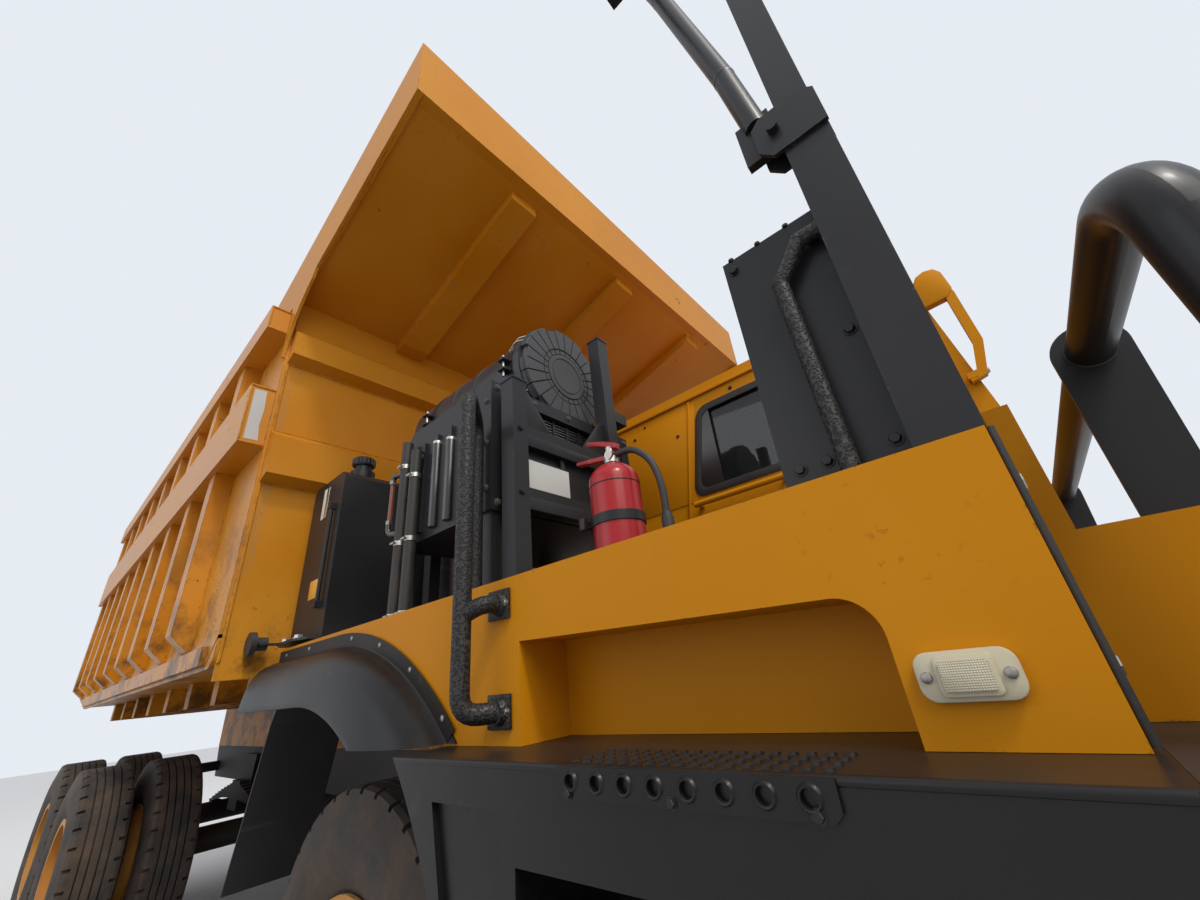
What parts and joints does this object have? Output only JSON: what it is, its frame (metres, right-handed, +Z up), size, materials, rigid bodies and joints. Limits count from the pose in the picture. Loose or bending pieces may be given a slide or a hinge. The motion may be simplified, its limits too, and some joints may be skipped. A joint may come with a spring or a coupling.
{
  "type": "mining dump truck",
  "caption": "Six-wheeled mine haul truck with an offset cab, an open side platform and a ribbed rock body that tips rearwards on a telescopic hoist.",
  "frame": {"origin": "ground level under the middle of the truck's overall length and width", "axes": "+X forward, +Y towards the driver's side, +Z up"},
  "size_m": [8.33, 3.55, 4.45],
  "materials": {
    "black_paint": "semi-gloss black paint, dusty",
    "yellow_paint": "orange-yellow paint with rust runs and scratches",
    "tyre": "dusty rubber",
    "glass": "tinted glass",
    "flare_plastic": "scuffed grey-black moulding",
    "seat_plastic": "dark grained plastic",
    "red_paint": "gloss red",
    "lamp_lens": "yellowed clear lens",
    "red_lens": "red lens",
    "chrome": "hard chrome",
    "grey_iron": "painted casting",
    "black_plastic": "ribbed black plastic"
  },
  "bodies": {
    "chassis": {"chassis_frame": "black_paint", "front_axle": "grey_iron", "rear_axles": "black_paint", "springs": "black_paint", "engine": "grey_iron", "drive_shaft": "grey_iron", "side_fascias": "yellow_paint", "arch_flares": "flare_plastic", "mud_flaps": "black_plastic", "deck": "black_paint", "step_fairings": "black_paint", "tread_plates": "black_paint", "bumper": "black_paint", "front_apron": "yellow_paint", "guard_rail": "black_paint", "cab_shell": "yellow_paint", "cab_glass": "glass", "cab_interior": "seat_plastic", "oil_tank": "black_paint", "horn": "black_plastic", "fuel_tank": "black_paint", "radiator_stand": "black_paint", "cooler": "black_paint", "cooler_hoses": "black_plastic", "air_filter": "black_plastic", "intake_pipe": "black_plastic", "extinguisher": "red_paint", "grab_handle": "black_paint", "side_screen": "black_paint", "mirror_post": "black_paint", "screen_handle": "black_paint", "mirror_arm": "black_paint", "cab_mirror": "black_plastic", "lamps": "lamp_lens", "rear_bar": "black_paint", "tail_lamps": "red_lens"},
    "bed": {"bed_floor_plate": "yellow_paint", "bed_sides": "yellow_paint", "bed_front_wall": "yellow_paint", "bed_canopy": "yellow_paint"},
    "hoist_base": {"hoist_barrel": "black_paint"},
    "hoist_tube_1": {"hoist_stage_1": "chrome"},
    "hoist_tube_2": {"hoist_stage_2": "chrome"},
    "hoist_tube_3": {"hoist_stage_3": "chrome"},
    "hoist_ram": {"hoist_rod": "chrome"},
    "steer_left": {"knuckle_left": "grey_iron"},
    "steer_right": {"knuckle_right": "grey_iron"},
    "steering_link": {"tie_rod": "black_paint"},
    "wheel_front_left": {"tyre_front_left": "tyre", "rim_front_left": "yellow_paint"},
    "wheel_front_right": {"tyre_front_right": "tyre", "rim_front_right": "yellow_paint"},
    "wheels_mid_left": {"tyres_mid_left": "tyre", "rims_mid_left": "yellow_paint"},
    "wheels_mid_right": {"tyres_mid_right": "tyre", "rims_mid_right": "yellow_paint"},
    "wheels_rear_left": {"tyres_rear_left": "tyre", "rims_rear_left": "yellow_paint"},
    "wheels_rear_right": {"tyres_rear_right": "tyre", "rims_rear_right": "yellow_paint"},
    "door": {"cab_door": "yellow_paint", "door_glass": "glass"}
  },
  "joints": [
    {"name": "bed_tip", "type": "hinge", "parent": "chassis", "child": "bed", "pos_m": [-3.7, 0, 1.22], "axis": [0, -1, 0], "range_deg": [0, 45]},
    {"name": "hoist_tilt", "type": "hinge", "parent": "chassis", "child": "hoist_base", "pos_m": [1.47, 0, 1], "axis": [0, -1, 0], "range_deg": [0, 27]},
    {"name": "hoist_slide_1", "type": "slide", "parent": "hoist_base", "child": "hoist_tube_1", "axis": [0, 0, 1], "range_m": [0, 0.978]},
    {"name": "hoist_slide_2", "type": "slide", "parent": "hoist_tube_1", "child": "hoist_tube_2", "axis": [0, 0, 1], "range_m": [0, 0.978]},
    {"name": "hoist_slide_3", "type": "slide", "parent": "hoist_tube_2", "child": "hoist_tube_3", "axis": [0, 0, 1], "range_m": [0, 0.978]},
    {"name": "hoist_slide_4", "type": "slide", "parent": "hoist_tube_3", "child": "hoist_ram", "axis": [0, 0, 1], "range_m": [0, 0.978]},
    {"name": "steer_left_pivot", "type": "hinge", "parent": "chassis", "child": "steer_left", "pos_m": [1.945, 0.93, 0.6], "axis": [0, 0, 1], "range_deg": [-30, 30]},
    {"name": "steer_right_pivot", "type": "hinge", "parent": "chassis", "child": "steer_right", "pos_m": [1.945, -0.93, 0.6], "axis": [0, 0, 1], "range_deg": [-30, 30]},
    {"name": "steering_link_slide", "type": "slide", "parent": "chassis", "child": "steering_link", "axis": [0, 1, 0], "range_m": [-0.12, 0.12]},
    {"name": "front_left_spin", "type": "hinge", "parent": "steer_left", "child": "wheel_front_left", "pos_m": [1.945, 1.195, 0.6], "axis": [0, 1, 0], "continuous": true},
    {"name": "mid_left_spin", "type": "hinge", "parent": "chassis", "child": "wheels_mid_left", "pos_m": [-1.65, 1.373, 0.6], "axis": [0, 1, 0], "continuous": true},
    {"name": "rear_left_spin", "type": "hinge", "parent": "chassis", "child": "wheels_rear_left", "pos_m": [-3.05, 1.373, 0.6], "axis": [0, 1, 0], "continuous": true},
    {"name": "front_right_spin", "type": "hinge", "parent": "steer_right", "child": "wheel_front_right", "pos_m": [1.945, -1.195, 0.6], "axis": [0, 1, 0], "continuous": true},
    {"name": "mid_right_spin", "type": "hinge", "parent": "chassis", "child": "wheels_mid_right", "pos_m": [-1.65, -1.373, 0.6], "axis": [0, 1, 0], "continuous": true},
    {"name": "rear_right_spin", "type": "hinge", "parent": "chassis", "child": "wheels_rear_right", "pos_m": [-3.05, -1.373, 0.6], "axis": [0, 1, 0], "continuous": true},
    {"name": "door_hinge", "type": "hinge", "parent": "chassis", "child": "door", "pos_m": [3.797, 1.439, 2.2], "axis": [0, 0, -1], "range_deg": [0, 70]}
  ],
  "couplings": [
    {"joint": "hoist_tilt", "follows": "bed_tip", "ratio": 0.573},
    {"joint": "hoist_slide_1", "follows": "bed_tip", "m_per_rad": 1.2331},
    {"joint": "hoist_slide_2", "follows": "bed_tip", "m_per_rad": 1.2331},
    {"joint": "hoist_slide_3", "follows": "bed_tip", "m_per_rad": 1.2331},
    {"joint": "hoist_slide_4", "follows": "bed_tip", "m_per_rad": 1.2331},
    {"joint": "steer_right_pivot", "follows": "steer_left_pivot", "ratio": 1},
    {"joint": "steering_link_slide", "follows": "steer_left_pivot", "m_per_rad": -0.22}
  ]
}
